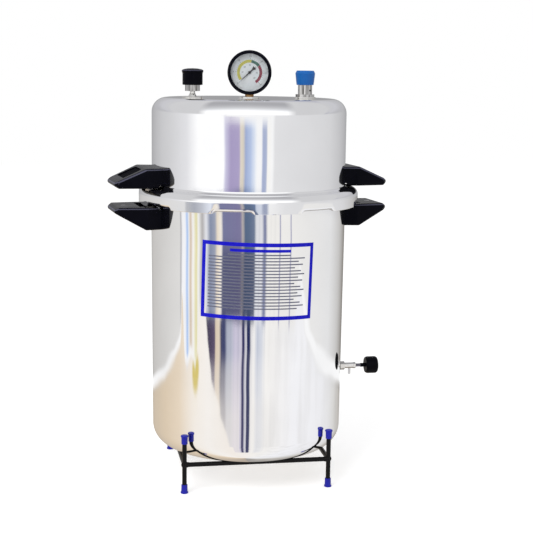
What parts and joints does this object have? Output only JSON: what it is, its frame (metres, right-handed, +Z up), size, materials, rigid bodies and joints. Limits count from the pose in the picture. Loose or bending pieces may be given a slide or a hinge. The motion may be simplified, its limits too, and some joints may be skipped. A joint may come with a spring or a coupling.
{
  "type": "pressure-type autoclave",
  "caption": "Free-standing aluminium autoclave: deep bayonet lid with dial gauge, dead-weight vent and spring safety valve, drain cock, paired black handles, loose rod stand with capped feet.",
  "frame": {"origin": "on the floor below the vessel's axis, the centre of the bottom of the bounding box", "axes": "+Z up along the vessel's axis, X along the handles, the front with the gauge towards -Y"},
  "size_m": [0.4278, 0.338, 0.6589],
  "materials": {
    "polished_aluminium": "mirror-polished drawn aluminium",
    "plain_aluminium": "plain rolled aluminium",
    "black_bakelite": "moulded black phenolic",
    "blue_cap": "moulded mid-blue plastic",
    "blue_vinyl": "dipped dark blue vinyl",
    "black_paint": "black stove enamel over steel rod",
    "nickel_plate": "nickel-plated brass",
    "steel_screw": "plated steel",
    "silicone": "moulded silicone",
    "black_rubber": "moulded nitrile rubber",
    "brass": "turned brass",
    "gauge_black": "black gloss enamel",
    "dial_white": "white enamel with a printed scale",
    "glass": "flat clear glass"
  },
  "bodies": {
    "stand": {"stand_leg_front_left": "black_paint", "stand_leg_front_right": "black_paint", "stand_leg_rear_right": "black_paint", "stand_leg_rear_left": "black_paint", "stand_rail_front": "black_paint", "stand_rail_right": "black_paint", "stand_rail_rear": "black_paint", "stand_rail_left": "black_paint", "leg_top_caps": "blue_vinyl", "leg_foot_caps": "blue_vinyl"},
    "vessel": {"vessel": "polished_aluminium", "body_handle_left": "black_bakelite", "body_handle_right": "black_bakelite", "body_handle_straps": "plain_aluminium", "body_handle_screws": "steel_screw", "drain_washer": "black_rubber", "drain_body": "nickel_plate", "drain_inner_nut": "nickel_plate", "drain_gland": "nickel_plate"},
    "drain_seat": {"drain_seat": "black_rubber"},
    "drain_knob": {"drain_spindle": "nickel_plate", "drain_knob": "black_bakelite"},
    "rack": {"rack_plate": "plain_aluminium", "rack_feet": "plain_aluminium"},
    "gasket": {"gasket": "silicone"},
    "lid": {"lid": "polished_aluminium", "lid_handle_left": "black_bakelite", "lid_handle_right": "black_bakelite", "lid_handle_straps": "plain_aluminium", "lid_handle_screws": "steel_screw", "vent_pipe": "nickel_plate", "vent_washer": "nickel_plate", "vent_nut": "nickel_plate", "safety_washer": "nickel_plate", "safety_body": "nickel_plate", "safety_bonnet": "nickel_plate", "safety_nut": "nickel_plate", "safety_spring": "steel_screw", "gauge_washer": "nickel_plate", "gauge_stem": "brass", "gauge_nut": "nickel_plate", "gauge_case": "gauge_black", "gauge_bezel": "gauge_black", "gauge_lens": "glass", "gauge_dial": "dial_white", "bourdon_tube": "brass", "movement_frame": "brass"},
    "vent_weight": {"weight_core": "nickel_plate", "weight_cap": "black_bakelite"},
    "safety_lifter": {"safety_spindle": "nickel_plate", "safety_cap": "blue_cap"},
    "sector": {"sector_gear": "brass"},
    "link": {"movement_link": "brass"},
    "pointer": {"pointer_arbor": "brass", "gauge_pointer": "gauge_black"}
  },
  "joints": [
    {"name": "vessel_lift", "type": "slide", "parent": "stand", "child": "vessel", "axis": [0, 0, 1], "range_m": [0, 0.1]},
    {"name": "rack_lift", "type": "slide", "parent": "vessel", "child": "rack", "axis": [0, 0, 1], "range_m": [0, 0.3]},
    {"name": "lid_lift", "type": "slide", "parent": "vessel", "child": "gasket", "axis": [0, 0, 1], "range_m": [0, 0.15]},
    {"name": "lid_turn", "type": "hinge", "parent": "gasket", "child": "lid", "pos_m": [0, 0, 0.45], "axis": [0, 0, 1], "range_deg": [0, 22.5]},
    {"name": "vent_weight_lift", "type": "slide", "parent": "lid", "child": "vent_weight", "axis": [0, 0, 1], "range_m": [0, 0.02]},
    {"name": "safety_valve_lift", "type": "slide", "parent": "lid", "child": "safety_lifter", "axis": [0, 0, 1], "range_m": [0, 0.003], "stiffness_N_per_m": 2000, "springref_m": -0.0025, "deforming": ["safety_spring"]},
    {"name": "sector_turn", "type": "hinge", "parent": "lid", "child": "sector", "pos_m": [0, 0, 0.6094], "axis": [0.2756, 0.9613, 0], "range_deg": [-38.57, 0], "stiffness_Nm_per_rad": 0.02},
    {"name": "pointer_turn", "type": "hinge", "parent": "lid", "child": "pointer", "pos_m": [0, 0, 0.6254], "axis": [0.2756, 0.9613, 0], "range_deg": [0, 270]},
    {"name": "link_swing", "type": "hinge", "parent": "lid", "child": "link", "pos_m": [-0.01943, 0.00557, 0.61432], "axis": [0.2756, 0.9613, 0], "range_deg": [0, 18.5]},
    {"name": "drain_screw", "type": "slide", "parent": "vessel", "child": "drain_seat", "axis": [0.9945, -0.1045, 0], "range_m": [0, 0.0025]},
    {"name": "drain_turn", "type": "hinge", "parent": "drain_seat", "child": "drain_knob", "pos_m": [0.17901, -0.01881, 0.1623], "axis": [0.9945, -0.1045, 0], "range_deg": [0, 720]}
  ],
  "couplings": [
    {"joint": "pointer_turn", "follows": "sector_turn", "ratio": -7},
    {"joint": "link_swing", "follows": "sector_turn", "ratio": -0.4781},
    {"joint": "drain_turn", "follows": "drain_screw", "rad_per_m": 5026.5}
  ]
}
